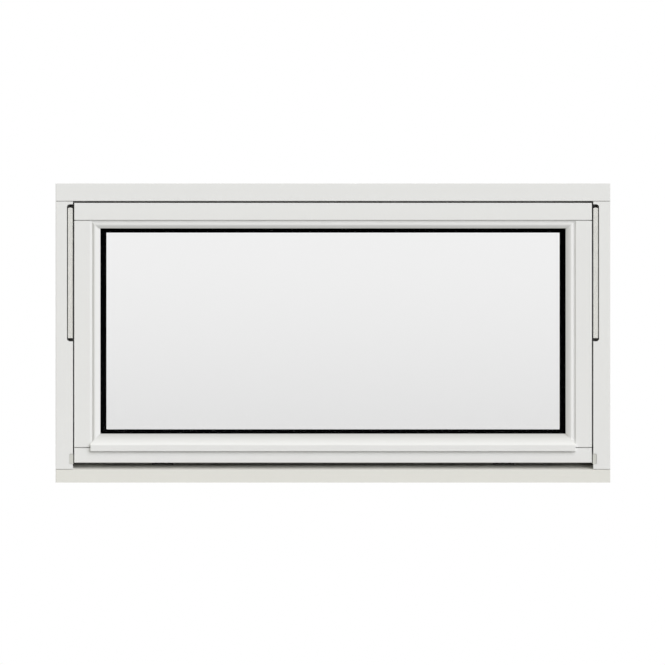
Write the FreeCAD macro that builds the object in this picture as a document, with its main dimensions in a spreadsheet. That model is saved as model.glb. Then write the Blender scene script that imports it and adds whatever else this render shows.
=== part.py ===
import FreeCAD, Part
import math
import os
import re

import Sketcher

# A top hung awning window of painted timber, seen from outside along +Y, with +X to the right and +Z up.
# The origin is on the underside of the sill, at the middle of its length and depth. Lengths are millimetres.

SIZES = (
    # Frame
    ("frame_width", "1190", "over the outer faces of the jambs"),
    ("frame_height", "642", "underside of the sill to the top of the head"),
    ("frame_depth", "115", "outer face to inner face of the frame"),
    ("jamb_face", "36.9", "width of a jamb beside the sash"),
    ("head_face", "38", "height of the head above the sash opening"),
    ("sill_face", "28", "height of the sill's outer edge"),
    ("sill_fall", "13", "rise of the sloping sill from its outer edge to the stop"),
    ("stop_lap", "14", "lap of the frame's stop behind the sash"),
    ("frame_arris", "1.2", "rounding of the frame's edges"),
    ("joint_arris", "0.8", "easing of the edges at the timber joints"),
    ("joint_width", "1.1", "each side of the V-groove at a timber joint"),
    ("joint_depth", "6", "depth of that groove"),
    ("throat_inset", "10", "throat under the sill from the frame's outer face"),
    ("throat_width", "5", "width of that throat"),
    ("throat_depth", "4", "depth of that throat"),
    # Clearances round the sash
    ("side_gap", "2.6", "between sash and jamb"),
    ("top_gap", "3.9", "between sash and head"),
    ("bottom_gap", "14.6", "between sash and the sill's outer edge"),
    ("sash_recess", "3", "sash face behind the frame's outer face"),
    ("fit_gap", "0.3", "clearance round hardware let into timber"),
    # Weather seal
    ("seal_gap", "4", "between the sash and the stop"),
    ("seal_slot", "3", "width of the seal's groove"),
    ("seal_root", "6", "depth of the seal's groove"),
    ("seal_bulb", "8", "width of the seal's bulb"),
    # Sash
    ("sash_depth", "60", "thickness of the sash"),
    ("stile_face", "35", "width of a stile beside its bead"),
    ("top_rail_face", "37.5", "height of the top rail above its bead"),
    ("bottom_rail_face", "32.6", "height of the bottom rail below the rebate"),
    ("sash_arris", "1.2", "rounding of the sash's outer edges"),
    ("lip_round", "7", "rounded moulding on the room side of the sash"),
    ("groove_inset", "9", "drip groove from the face of the bottom rail"),
    ("groove_width", "4", "width of the drip groove"),
    ("groove_depth", "5", "depth of the drip groove"),
    # Glazing beads
    ("bead_width", "21.5", "side bead, stile to glass"),
    ("bead_depth", "16", "sash face to the back of the bead"),
    ("quirk_depth", "4", "depth of the sunk margin beside the timber"),
    ("bead_crest", "9.5", "crest of the bead's round shoulder from the timber"),
    ("bead_shoulder", "5", "radius of that shoulder"),
    ("shoulder_run", "1.7", "where the shoulder passes into the fall, past the crest"),
    ("bead_curve", "38", "radius of the fall to the glass"),
    ("top_trim", "4.4", "how much narrower the top bead is"),
    ("bottom_lift", "8.3", "how much taller the bottom bead is"),
    ("slope_fall", "9", "drop of the bottom bead at the glass"),
    ("slope_curve", "45", "radius of the bottom bead's slope"),
    ("nose_reach", "6.5", "bottom bead's nose in front of the sash face"),
    ("nose_rise", "5.5", "nose's upper edge above the rebate"),
    ("nose_lap", "7.8", "nose's lower edge below the rebate"),
    ("nose_round", "2", "rounding of the nose"),
    ("drip_lip", "2", "nose's lip in front of its drip groove"),
    ("drip_width", "2.5", "width of the drip groove under the nose"),
    ("drip_depth", "3", "depth of the drip groove under the nose"),
    # Glass unit
    ("pane", "4", "thickness of each pane"),
    ("cavity", "16", "space between the panes"),
    ("butyl", "0.3", "film between the spacer and each pane"),
    ("tape", "3", "thickness of the glazing tape"),
    ("tape_setback", "1.5", "tape behind the edge of the bead"),
    ("glass_gap", "4", "clearance round the glass"),
    ("edge_seal", "8", "width of the sealant round the unit"),
    ("spacer_side", "12.9", "spacer showing past the side beads"),
    ("spacer_end", "9.3", "spacer showing past the top and bottom beads"),
    ("block_length", "90", "setting block under the glass"),
    ("block_inset", "110", "setting block's middle from the glass edge"),
    # Hinge gear in each jamb
    ("slot_width", "12.7", "hinge slot, into the jamb"),
    ("slot_depth", "46", "hinge slot, from the frame's outer face"),
    ("slot_drop", "6.9", "top of the slot below the head"),
    ("slot_round", "6", "rounded ends of the slot"),
    ("arm_thickness", "10.2", "hinge arm, across the jamb"),
    ("arm_depth", "22", "hinge arm, along the depth of the frame"),
    ("arm_length", "280", "hinge arm, along the jamb"),
    ("arm_setback", "3", "hinge arm behind the frame's outer face"),
    ("arm_crown", "1.6", "rise of the arm's rounded top"),
    ("arm_end_gap", "7", "room past each end of the arm in its slot"),
    ("plate_thickness", "2", "steel plate behind the arm"),
    ("plate_length", "90", "length of that plate"),
    ("plate_setback", "6", "plate behind the face of the arm"),
    ("pin_radius", "4", "hinge pins"),
    ("pin_inset", "16", "lower hinge pin from the foot of the arm"),
    ("pin_gap", "0.15", "clearance round the pins"),
    ("bracket_thickness", "3", "plate let into the stile"),
    ("bracket_length", "70", "length of that plate"),
    ("bracket_width", "20", "width of that plate"),
    ("rail_depth", "14", "sliding rail, along the depth of the frame"),
    ("rail_wall", "1.5", "wall of the sliding rail"),
    ("rail_gap", "2", "between the arm and the sliding rail"),
    ("shoe_length", "45", "sliding shoe in the rail"),
    ("shoe_pin_radius", "3", "pin from the shoe into the stile"),
    ("shoe_pin_length", "8", "length of that pin inside the stile"),
    # Guide blocks at the foot of each jamb
    ("guide_width", "8", "guide block, into the jamb"),
    ("guide_height", "22.7", "guide block, along the jamb"),
    ("guide_depth", "35", "guide block, from the frame's outer face"),
    ("guide_rise", "39.3", "foot of the guide block above the sill's underside"),
    ("guide_proud", "0.8", "guide block standing into the gap"),
    ("guide_setback", "1.5", "guide block behind the frame's outer face"),
    ("guide_round", "3", "rounded corners of the guide block"),
    # Fixing holes through the jambs
    ("fixing_radius", "5", "hole for a frame screw"),
    ("fixing_inset", "130", "hole from the top or the foot of the frame"),
    ("fixing_cover", "12", "hole's middle in front of the stop"),
    # Handle and lock
    ("rose_width", "72", "handle plate, along the rail"),
    ("rose_height", "30", "handle plate, up the rail"),
    ("rose_depth", "9", "handle plate, off the rail"),
    ("rose_corner", "9", "rounded corners of the handle plate"),
    ("rose_round", "2", "rounding of the handle plate's edges"),
    ("neck_radius", "8.5", "handle neck"),
    ("neck_length", "24", "handle neck, plate to grip"),
    ("grip_length", "118", "handle grip"),
    ("grip_height", "19", "handle grip at the neck"),
    ("grip_tip", "14", "handle grip at its tip"),
    ("grip_depth", "11", "handle grip, front to back"),
    ("grip_round", "3.5", "rounding of the grip, away from the sash"),
    ("grip_ease", "1", "rounding of the grip, towards the sash"),
    ("lock_width", "16", "lock strip under the bottom rail"),
    ("lock_thickness", "2.5", "thickness of the lock strip"),
    ("lock_inset", "60", "end of the lock strip from the end of the rail"),
    ("lock_setback", "40", "lock strip from the face of the sash"),
    ("cam_radius", "4.5", "lock cams"),
    ("cam_length", "3", "lock cams below the strip"),
    ("cam_inset", "190", "lock cams from the sash's edge"),
    ("keep_length", "46", "lock keeps on the sill"),
    ("keep_thickness", "7", "lock keeps, front to back"),
    ("keep_gap", "1", "between a cam and its keep"),
)

LINES = (
    # Frame
    ("frame_half", "frame_width / 2", "outer face of a jamb"),
    ("frame_front", "-frame_depth / 2", "outer face of the frame"),
    ("frame_back", "frame_depth / 2", "inner face of the frame"),
    ("jamb_half", "frame_half - jamb_face", "jamb's edge beside the sash"),
    ("head_foot", "frame_height - head_face", "head's edge above the sash"),
    # Sash
    ("sash_half", "jamb_half - side_gap", "edge of the sash"),
    ("sash_top", "head_foot - top_gap", "top of the sash"),
    ("sash_foot", "sill_face + bottom_gap", "bottom of the sash"),
    ("sash_front", "frame_front + sash_recess", "outer face of the sash"),
    ("sash_back", "sash_front + sash_depth", "room face of the sash"),
    # Stop and seal
    ("stop_front", "sash_back + seal_gap", "face of the stop"),
    ("stop_half", "sash_half - stop_lap", "edge of the side stops"),
    ("stop_top", "sash_top - stop_lap", "edge of the top stop"),
    ("stop_foot", "sash_foot + stop_lap", "edge of the bottom stop"),
    ("seal_half", "stop_half + stop_lap / 2", "middle of the side seals"),
    ("seal_top", "stop_top + stop_lap / 2", "middle of the top seal"),
    ("seal_foot", "stop_foot - stop_lap / 2", "middle of the bottom seal"),
    # Glazing rebate and the lines where the beads meet the glass
    ("top_bead", "bead_width - top_trim", "height of the top bead"),
    ("bottom_bead", "bead_width + bottom_lift", "height of the bottom bead"),
    ("rebate_half", "sash_half - stile_face", "wall of the rebate at the sides"),
    ("rebate_top", "sash_top - top_rail_face", "wall of the rebate at the top"),
    ("rebate_foot", "sash_foot + bottom_rail_face", "floor of the rebate"),
    ("sight_half", "rebate_half - bead_width", "edge of the side beads"),
    ("sight_top", "rebate_top - top_bead", "edge of the top bead"),
    ("sight_foot", "rebate_foot + bottom_bead", "edge of the bottom bead"),
    ("mitre_foot", "sight_foot - bead_width", "foot of the side beads"),
    ("bead_back", "sash_front + bead_depth", "back of the beads"),
    ("shoulder_drop", "bead_shoulder - quirk_depth", "shoulder's centre behind the sunk margin"),
    ("shoulder_near", "bead_crest - sqrt(bead_shoulder ^ 2 - shoulder_drop ^ 2)", "shoulder's foot"),
    ("shoulder_far", "bead_crest + shoulder_run", "end of the shoulder"),
    ("shoulder_fall", "bead_shoulder - sqrt(bead_shoulder ^ 2 - shoulder_run ^ 2)", "its drop there"),
    ("curve_place", "shoulder_far - bead_curve * shoulder_run / bead_shoulder", "centre of the fall"),
    ("curve_depth", "shoulder_fall + bead_curve * (1 - shoulder_fall / bead_shoulder)", "its depth"),
    ("side_fall", "curve_depth - sqrt(bead_curve ^ 2 - (bead_width - curve_place) ^ 2)", "side beads"),
    ("top_fall", "curve_depth - sqrt(bead_curve ^ 2 - (top_bead - curve_place) ^ 2)", "top bead"),
    ("nose_front", "sash_front - nose_reach", "front of the bottom bead"),
    ("nose_foot", "rebate_foot - nose_lap", "underside of the bottom bead's nose"),
    # Glass unit
    ("glass_front", "bead_back + tape", "outer face of the glass"),
    ("spacer_front", "glass_front + pane", "inner side of the outer pane"),
    ("spacer_back", "spacer_front + cavity", "inner side of the inner pane"),
    ("glass_back", "spacer_back + pane", "room face of the glass"),
    ("lip_front", "glass_back + tape", "sash lip behind the glass"),
    ("glass_half", "rebate_half - glass_gap", "edge of the glass"),
    ("glass_top", "rebate_top - glass_gap", "top of the glass"),
    ("glass_foot", "rebate_foot + glass_gap", "bottom of the glass"),
    # Hinge gear
    ("slot_top", "head_foot - slot_drop", "top of the hinge slot"),
    ("slot_wall", "jamb_half + slot_width", "outer wall of the hinge slot"),
    ("arm_outer", "slot_wall - plate_thickness", "arm's side beside the plate"),
    ("arm_inner", "arm_outer - arm_thickness", "arm's side beside the sash"),
    ("arm_top", "slot_top - arm_end_gap", "top of the arm"),
    ("arm_foot", "arm_top - arm_length", "bottom of the arm"),
    ("slot_foot", "arm_foot - arm_end_gap", "bottom of the hinge slot"),
    ("arm_front", "frame_front + arm_setback", "face of the arm"),
    ("arm_axis", "arm_front + arm_depth / 2", "middle of the arm"),
    ("pin_foot", "arm_foot + pin_inset", "lower pin"),
    ("bracket_top", "rebate_top - fit_gap", "top of the bracket in the stile"),
    ("bracket_foot", "bracket_top - bracket_length", "bottom of that bracket"),
    ("pin_top", "bracket_top - bracket_width / 2", "upper pin"),
    ("shoe_top", "rebate_top - fit_gap", "top of the sliding shoe"),
    ("rail_front", "arm_front + arm_depth + rail_gap", "front of the sliding rail"),
    ("rail_back", "rail_front + rail_depth", "back of the sliding rail"),
    ("rail_axis", "rail_front + rail_depth / 2", "middle of the sliding rail"),
    ("rail_top", "slot_top - slot_round", "top of the sliding rail"),
    ("rail_foot", "slot_foot + slot_round", "bottom of the sliding rail"),
    # Fixings, handle and lock
    ("fixing_line", "stop_front - fixing_cover", "depth of the fixing holes"),
    ("handle_line", "(stop_foot + sight_foot - lip_round) / 2", "height of the handle"),
    ("grip_front", "sash_back + rose_depth + neck_length", "near side of the grip"),
    ("lock_front", "sash_front + lock_setback", "near edge of the lock strip"),
    ("lock_axis", "lock_front + lock_width / 2", "middle of the lock strip"),
    ("cam_half", "sash_half - cam_inset", "place of the lock cams"),
    ("cam_foot", "sash_foot - cam_length", "bottom of the lock cams"),
    ("keep_front", "lock_axis + cam_radius + keep_gap", "near side of the keeps"),
    ("keep_back", "keep_front + keep_thickness", "far side of the keeps"),
)

# Each side of the window, with the direction of its x
SIDES = (("left", -1), ("right", 1))
# An edge this near to a place lies on it, and a cut takes more than this from a solid
TOUCH = 1e-4

doc = FreeCAD.newDocument("AwningWindow")


def fill_sheet(name, rows, lead=""):
    """Makes a sheet with one aliased cell a row, beside its name and its note."""
    sheet = doc.addObject("Spreadsheet::Sheet", name)
    for line, (alias, value, note) in enumerate(rows, start=1):
        sheet.set(f"A{line}", alias)
        sheet.set(f"B{line}", lead + value)
        sheet.set(f"C{line}", note)
        sheet.setAlias(f"B{line}", alias)
    return sheet


def bound(text, own=None):
    """Puts the sheet's name before each alias in an expression, except for aliases of the sheet named own."""
    def name(match):
        word = match.group(0)
        if word in SHEET_OF and SHEET_OF[word] != own:
            return f"{SHEET_OF[word]}.{word}"
        return word

    return re.sub(r"[a-z]\w*", name, text)


SHEET_OF = {row[0]: "Sizes" for row in SIZES}
SHEET_OF.update({row[0]: "Lines" for row in LINES})
sizes = fill_sheet("Sizes", SIZES)
lines = fill_sheet("Lines", [(a, bound(f, "Lines"), note) for a, f, note in LINES], "=")
doc.recompute()


def number(text):
    return float(lines.evalExpression(bound(text)))


def new_body(label):
    body = doc.addObject("PartDesign::Body", label)
    body.Label = label
    return body


def draw_outline(sketch, corners):
    """Draws a closed outline and ties every corner to the sheets.

    A corner is (across, up). With a radius and a turn after them, an arc leads to it,
    anticlockwise where turn is 1 and clockwise where it is -1.
    """
    first = len(sketch.Geometry)
    count = len(corners)
    points = [FreeCAD.Vector(number(c[0]), number(c[1]), 0) for c in corners]
    starts = []
    ends = []
    for i in range(count):
        here = points[i]
        there = points[(i + 1) % count]
        goal = corners[(i + 1) % count]
        if len(goal) == 2:
            sketch.addGeometry(Part.LineSegment(here, there))
            starts.append(1)
            ends.append(2)
            continue
        radius = number(goal[2])
        chord = there - here
        middle = here + chord * 0.5
        rise = math.sqrt(max(radius**2 - (chord.Length / 2) ** 2, 0.0))
        square = FreeCAD.Vector(-chord.y, chord.x, 0).normalize()
        centre = middle + square * (rise * goal[3])
        low, high = (here, there) if goal[3] > 0 else (there, here)
        circle = Part.Circle(centre, FreeCAD.Vector(0, 0, 1), radius)
        begin = math.atan2(low.y - centre.y, low.x - centre.x)
        finish = math.atan2(high.y - centre.y, high.x - centre.x)
        sketch.addGeometry(Part.ArcOfCircle(circle, begin, finish))
        starts.append(1 if goal[3] > 0 else 2)
        ends.append(3 - starts[-1])
        tie(sketch, Sketcher.Constraint("Radius", first + i, radius), goal[2])
    for i in range(count):
        after = (i + 1) % count
        sketch.addConstraint(
            Sketcher.Constraint("Coincident", first + i, ends[i], first + after, starts[after])
        )
    for i, corner in enumerate(corners):
        for word, text, size in zip(("DistanceX", "DistanceY"), corner, points[i]):
            tie(sketch, Sketcher.Constraint(word, -1, 1, first + i, starts[i], size), text)


def draw_circle(sketch, across, up, radius):
    spot = len(sketch.Geometry)
    centre = FreeCAD.Vector(number(across), number(up), 0)
    sketch.addGeometry(Part.Circle(centre, FreeCAD.Vector(0, 0, 1), number(radius)))
    tie(sketch, Sketcher.Constraint("Radius", spot, number(radius)), radius)
    tie(sketch, Sketcher.Constraint("DistanceX", -1, 1, spot, 3, centre.x), across)
    tie(sketch, Sketcher.Constraint("DistanceY", -1, 1, spot, 3, centre.y), up)


def tie(sketch, constraint, text):
    spot = sketch.addConstraint(constraint)
    sketch.setExpression(f"Constraints[{spot}]", bound(text))


def extrude(kind, body, name, plane, start, length, outlines=(), circles=()):
    """Adds a Pad or a Pocket that runs from start towards the plane's positive axis."""
    sketch = body.newObject("Sketcher::SketchObject", name + "_outline")
    base = next(p for p in body.Origin.OriginFeatures if p.Role == plane)
    sketch.AttachmentSupport = [(base, "")]
    sketch.MapMode = "FlatFace"
    from_front = plane == "XZ_Plane"
    sketch.setExpression("AttachmentOffset.Base.z", bound(f"-({start})" if from_front else start))
    for outline in outlines:
        draw_outline(sketch, outline)
    for circle in circles:
        draw_circle(sketch, *circle)
    feature = body.newObject("PartDesign::" + kind, name)
    feature.Profile = sketch
    feature.setExpression("Length", bound(length))
    feature.Reversed = from_front == (kind == "Pad")
    doc.recompute()
    return feature


def pad(*args, **drawn):
    return extrude("Pad", *args, **drawn)


def pocket(*args, **drawn):
    before = args[0].Shape.Volume
    feature = extrude("Pocket", *args, **drawn)
    if args[0].Shape.Volume > before - TOUCH:
        raise RuntimeError(f"{args[0].Label}: {args[1]} cuts nothing")
    return feature


def ease(kind, body, name, size, *places):
    """Rounds or bevels the edges that lie on each place, given as values of x, y and z."""
    edges = []
    for place in places:
        wanted = {axis.upper(): number(text) for axis, text in place.items()}
        found = []
        for spot, edge in enumerate(body.Shape.Edges, start=1):
            box = edge.BoundBox
            reach = [getattr(box, axis + end) - at for axis, at in wanted.items() for end in ("Min", "Max")]
            if max(map(abs, reach)) < TOUCH:
                found.append(f"Edge{spot}")
        if not found:
            raise RuntimeError(f"{body.Label}: no edge for {name}")
        edges += [e for e in found if e not in edges]
    base = body.Tip
    feature = body.newObject("PartDesign::" + kind, name)
    feature.Base = (base, edges)
    feature.setExpression("Radius" if kind == "Fillet" else "Size", bound(size))
    doc.recompute()
    return feature


def box(low_across, high_across, low_up, high_up):
    return [
        (low_across, low_up),
        (high_across, low_up),
        (high_across, high_up),
        (low_across, high_up),
    ]


def turned(outline):
    """The same outline with its two directions exchanged."""
    return [(up, across, *arc) for across, up, *arc in outline]


def seal_groove(middle, step):
    """Four corners of the seal's groove in the face of a stop, in the direction of step, 1 or -1."""
    near = f"{middle} - {step} * seal_slot / 2"
    far = f"{middle} + {step} * seal_slot / 2"
    root = "stop_front + seal_root"
    return [("stop_front", near), (root, near), (root, far), ("stop_front", far)]


def joint_groove(face, edge, step):
    """One side of the V-groove along a joint: it widens to the face, away from the edge by step, 1 or -1."""
    return [
        (face, edge),
        (face, f"{edge} + {step} * joint_width"),
        (f"{face} + joint_depth", edge),
    ]


def make_head():
    body = new_body("frame_head")
    outline = box("frame_front", "frame_back", "head_foot", "frame_height")
    pad(body, "board", "YZ_Plane", "-frame_half", "frame_width", outlines=[outline])
    stop = [
        ("stop_front", "head_foot"),
        *seal_groove("seal_top", -1),
        ("stop_front", "stop_top"),
        ("frame_back", "stop_top"),
        ("frame_back", "head_foot"),
    ]
    pad(body, "stop", "YZ_Plane", "-jamb_half", "2 * jamb_half", outlines=[stop])
    ease(
        "Fillet", body, "arris", "frame_arris",
        {"y": "frame_front", "z": "frame_height"},
        {"y": "frame_front", "x": "-frame_half"},
        {"y": "frame_front", "x": "frame_half"},
        {"z": "frame_height", "x": "-frame_half"},
        {"z": "frame_height", "x": "frame_half"},
        {"y": "frame_back", "z": "frame_height"},
        {"y": "frame_back", "z": "stop_top"},
    )
    ease("Chamfer", body, "joint", "joint_arris", {"y": "frame_front", "z": "head_foot"})


def make_sill():
    body = new_body("frame_sill")
    outline = box("frame_front", "frame_back", "0", "sill_face")
    pad(body, "board", "YZ_Plane", "-frame_half", "frame_width", outlines=[outline])
    weathering = [
        ("frame_front + frame_arris", "sill_face"),
        ("stop_front", "sill_face + sill_fall"),
        *seal_groove("seal_foot", 1),
        ("stop_front", "stop_foot"),
        ("frame_back", "stop_foot"),
        ("frame_back", "sill_face"),
    ]
    pad(body, "weathering", "YZ_Plane", "-jamb_half", "2 * jamb_half", outlines=[weathering])
    ease(
        "Fillet", body, "arris", "frame_arris",
        {"y": "frame_front", "x": "-frame_half"},
        {"y": "frame_front", "x": "frame_half"},
        {"y": "frame_back", "z": "stop_foot"},
    )
    ease("Chamfer", body, "edge", "joint_arris", {"y": "frame_front", "z": "sill_face"})
    near = "frame_front + throat_inset"
    throat = box(near, f"{near} + throat_width", "0", "throat_depth")
    pocket(body, "throat", "YZ_Plane", "-frame_half", "frame_width", outlines=[throat])


def make_jamb(word, side):
    body = new_body(f"frame_jamb_{word}")
    outer = f"{side} * frame_half"
    inner = f"{side} * jamb_half"
    post = box(outer, inner, "frame_front", "frame_back")
    pad(body, "post", "XY_Plane", "sill_face", "head_foot - sill_face", outlines=[post])
    stop = turned([
        ("stop_front", inner),
        *seal_groove(f"{side} * seal_half", -side),
        ("stop_front", f"{side} * stop_half"),
        ("frame_back", f"{side} * stop_half"),
        ("frame_back", inner),
    ])
    pad(body, "stop", "XY_Plane", "stop_foot", "stop_top - stop_foot", outlines=[stop])
    ease(
        "Fillet", body, "arris", "frame_arris",
        {"y": "frame_front", "x": outer},
        {"y": "frame_front", "x": inner},
        {"y": "frame_back", "x": outer},
        {"y": "frame_back", "x": f"{side} * stop_half"},
    )
    low_x = "-frame_half" if side < 0 else "jamb_half"
    grooves = [joint_groove("frame_front", "sill_face", 1), joint_groove("frame_front", "head_foot", -1)]
    pocket(body, "joints", "YZ_Plane", low_x, "jamb_face", outlines=grooves)
    slot = rounded_tongue(side, "slot_wall", "slot_foot", "slot_top", "slot_round")
    pocket(body, "hinge_slot", "XZ_Plane", "frame_front", "slot_depth", outlines=[slot])
    notch = rounded_tongue(
        side,
        "jamb_half + guide_width",
        "guide_rise",
        "guide_rise + guide_height",
        "guide_round",
    )
    pocket(body, "guide_notch", "XZ_Plane", "frame_front", "guide_depth", outlines=[notch])
    holes = [
        ("fixing_line", "fixing_inset", "fixing_radius"),
        ("fixing_line", "frame_height - fixing_inset", "fixing_radius"),
    ]
    pocket(body, "fixings", "YZ_Plane", low_x, "jamb_face", circles=holes)


def rounded_tongue(side, wall, foot, top, radius, mouth="jamb_half"):
    """A recess in the jamb's edge with rounded corners at its far wall, as it shows from outside."""
    far = f"{side} * ({wall})"
    curve = f"{side} * ({wall} - {radius})"
    return [
        (f"{side} * ({mouth})", foot),
        (curve, foot),
        (far, f"{foot} + {radius}", radius, side),
        (far, f"{top} - {radius}"),
        (curve, f"{top}", radius, side),
        (f"{side} * ({mouth})", top),
    ]


def make_seal(label, plane, middle, low, high, root_low, root_high):
    """A strip of weather seal: a soft bulb on the stop and a root in its groove."""
    body = new_body(label)
    round_edge = "seal_gap / 2"
    bulb = [
        ("stop_front", f"{middle} - seal_bulb / 2"),
        ("stop_front", f"{middle} + seal_bulb / 2"),
        (f"stop_front - {round_edge}", f"{middle} + seal_bulb / 2"),
        ("sash_back", f"{middle} + seal_bulb / 2 - {round_edge}", round_edge, 1),
        ("sash_back", f"{middle} - seal_bulb / 2 + {round_edge}"),
        (f"stop_front - {round_edge}", f"{middle} - seal_bulb / 2", round_edge, 1),
    ]
    root = box(
        "stop_front",
        "stop_front + seal_root - fit_gap",
        f"{middle} - seal_slot / 2 + fit_gap",
        f"{middle} + seal_slot / 2 - fit_gap",
    )
    if plane == "XY_Plane":
        bulb = [(across, up, *arc[:1], *[-t for t in arc[1:]]) for across, up, *arc in turned(bulb)]
        root = turned(root)
    pad(body, "bulb", plane, low, f"{high} - ({low})", outlines=[bulb])
    pad(body, "root", plane, root_low, f"{root_high} - ({root_low})", outlines=[root])


def make_seals():
    far = "seal_half + seal_bulb / 2"
    for word, middle in (("head", "seal_top"), ("sill", "seal_foot")):
        make_seal(f"frame_seal_{word}", "YZ_Plane", middle, f"-({far})", far, "-stop_half", "stop_half")
    low = "seal_foot + seal_bulb / 2"
    high = "seal_top - seal_bulb / 2"
    for word, side in SIDES:
        label = f"frame_seal_{word}"
        make_seal(label, "XY_Plane", f"{side} * seal_half", low, high, "stop_foot", "stop_top")


def make_rail(word, low, high, outer):
    """A rail runs the full width of the sash, and its lip is mitred to the lips of the stiles."""
    body = new_body(f"sash_{word}_rail")
    outline = box("sash_front", "sash_back", low, high)
    pad(body, "board", "YZ_Plane", "-sash_half", "2 * sash_half", outlines=[outline])
    ends = [{"y": "sash_front", "x": f"{side} * sash_half"} for _, side in SIDES]
    ease("Fillet", body, "arris", "sash_arris", {"y": "sash_front", "z": outer}, *ends)
    groove = joint_groove("sash_front", high, -1) if outer == low else joint_groove("sash_front", low, 1)
    pocket(body, "joint", "YZ_Plane", "-sash_half", "2 * sash_half", outlines=[groove])
    return body


def make_top_rail():
    body = make_rail("top", "rebate_top", "sash_top", "sash_top")
    wide = "sight_half + top_bead"
    lip = [
        (f"-({wide})", "rebate_top"),
        ("-sight_half", "sight_top"),
        ("sight_half", "sight_top"),
        (wide, "rebate_top"),
    ]
    pad(body, "lip", "XZ_Plane", "lip_front", "sash_back - lip_front", outlines=[lip])
    ease("Fillet", body, "moulding", "lip_round", {"y": "sash_back", "z": "sight_top"})


def make_bottom_rail():
    body = make_rail("bottom", "sash_foot", "rebate_foot", "sash_foot")
    lip = [
        ("-rebate_half", "rebate_foot"),
        ("rebate_half", "rebate_foot"),
        ("rebate_half", "mitre_foot"),
        ("sight_half", "sight_foot"),
        ("-sight_half", "sight_foot"),
        ("-rebate_half", "mitre_foot"),
    ]
    pad(body, "lip", "XZ_Plane", "lip_front", "sash_back - lip_front", outlines=[lip])
    ease("Fillet", body, "moulding", "lip_round", {"y": "sash_back", "z": "sight_foot"})
    near = "sash_front + groove_inset"
    groove = box(near, f"{near} + groove_width", "sash_foot", "sash_foot + groove_depth")
    pocket(body, "drip_groove", "YZ_Plane", "-sash_half", "2 * sash_half", outlines=[groove])
    housing = box(
        "lock_front - fit_gap",
        "lock_front + lock_width + fit_gap",
        "sash_foot",
        "sash_foot + lock_thickness",
    )
    reach = "sash_half - lock_inset + fit_gap"
    pocket(body, "lock_housing", "YZ_Plane", f"-({reach})", f"2 * ({reach})", outlines=[housing])


def make_stile(word, side):
    body = new_body(f"sash_stile_{word}")
    outer = f"{side} * sash_half"
    wall = f"{side} * rebate_half"
    outline = box(outer, wall, "sash_front", "sash_back")
    pad(body, "board", "XY_Plane", "rebate_foot", "rebate_top - rebate_foot", outlines=[outline])
    ease("Fillet", body, "arris", "sash_arris", {"y": "sash_front", "x": outer})
    low_x = outer if side < 0 else wall
    grooves = [joint_groove("sash_front", "rebate_foot", 1), joint_groove("sash_front", "rebate_top", -1)]
    pocket(body, "joints", "YZ_Plane", low_x, "stile_face", outlines=grooves)
    lip = [
        (wall, "mitre_foot"),
        (f"{side} * sight_half", "sight_foot"),
        (f"{side} * sight_half", "sight_top"),
        (f"{side} * (sight_half + top_bead)", "rebate_top"),
        (wall, "rebate_top"),
    ]
    pad(body, "lip", "XZ_Plane", "lip_front", "sash_back - lip_front", outlines=[lip])
    ease("Fillet", body, "moulding", "lip_round", {"y": "sash_back", "x": f"{side} * sight_half"})
    start = "-sash_half" if side < 0 else "sash_half - bracket_thickness"
    housing = box(
        "arm_axis - bracket_width / 2 - fit_gap",
        "arm_axis + bracket_width / 2 + fit_gap",
        "bracket_foot - fit_gap",
        "rebate_top",
    )
    pocket(body, "bracket_housing", "YZ_Plane", start, "bracket_thickness", outlines=[housing])
    start = "-sash_half" if side < 0 else "sash_half - shoe_pin_length - fit_gap"
    pin = ("rail_axis", "shoe_top - shoe_length / 2", "shoe_pin_radius + fit_gap")
    pocket(body, "shoe_hole", "YZ_Plane", start, "shoe_pin_length + fit_gap", circles=[pin])


def bead_outline(place, width, fall, turn):
    """A glazing bead's section: a sunk margin, a round shoulder, and a curve that falls to the glass.

    place turns a distance from the timber into a coordinate.
    """
    return [
        ("bead_back", place("0")),
        ("sash_front + quirk_depth", place("0")),
        ("sash_front + quirk_depth", place("shoulder_near")),
        ("sash_front + shoulder_fall", place("shoulder_far"), "bead_shoulder", turn),
        (f"sash_front + {fall}", place(width), "bead_curve", turn),
        ("bead_back", place(width)),
    ]


def make_side_bead(word, side):
    body = new_body(f"bead_{word}")
    section = bead_outline(lambda u: f"{side} * (rebate_half - {u})", "bead_width", "side_fall", side)
    outline = [(across, up, *arc[:1], *[-t for t in arc[1:]]) for across, up, *arc in turned(section)]
    pad(body, "moulding", "XY_Plane", "mitre_foot", "rebate_top - mitre_foot", outlines=[outline])
    sight = f"{side} * sight_half"
    wall = f"{side} * rebate_half"
    foot = [(wall, "mitre_foot"), (sight, "mitre_foot"), (sight, "sight_foot")]
    top = [
        (wall, "rebate_top"),
        (f"{side} * (rebate_half - top_bead)", "sight_top"),
        (sight, "sight_top"),
        (sight, "rebate_top"),
    ]
    pocket(body, "foot_mitre", "XZ_Plane", "sash_front", "bead_depth", outlines=[foot])
    pocket(body, "top_mitre", "XZ_Plane", "sash_front", "bead_depth", outlines=[top])


def make_top_bead():
    body = new_body("bead_top")
    section = bead_outline(lambda u: f"rebate_top - {u}", "top_bead", "top_fall", 1)
    pad(body, "moulding", "YZ_Plane", "-rebate_half", "2 * rebate_half", outlines=[section])
    for word, side in SIDES:
        mitre = [
            (f"{side} * rebate_half", "rebate_top"),
            (f"{side} * rebate_half", "sight_top"),
            (f"{side} * (rebate_half - top_bead)", "sight_top"),
        ]
        pocket(body, f"mitre_{word}", "XZ_Plane", "sash_front", "bead_depth", outlines=[mitre])


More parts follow.
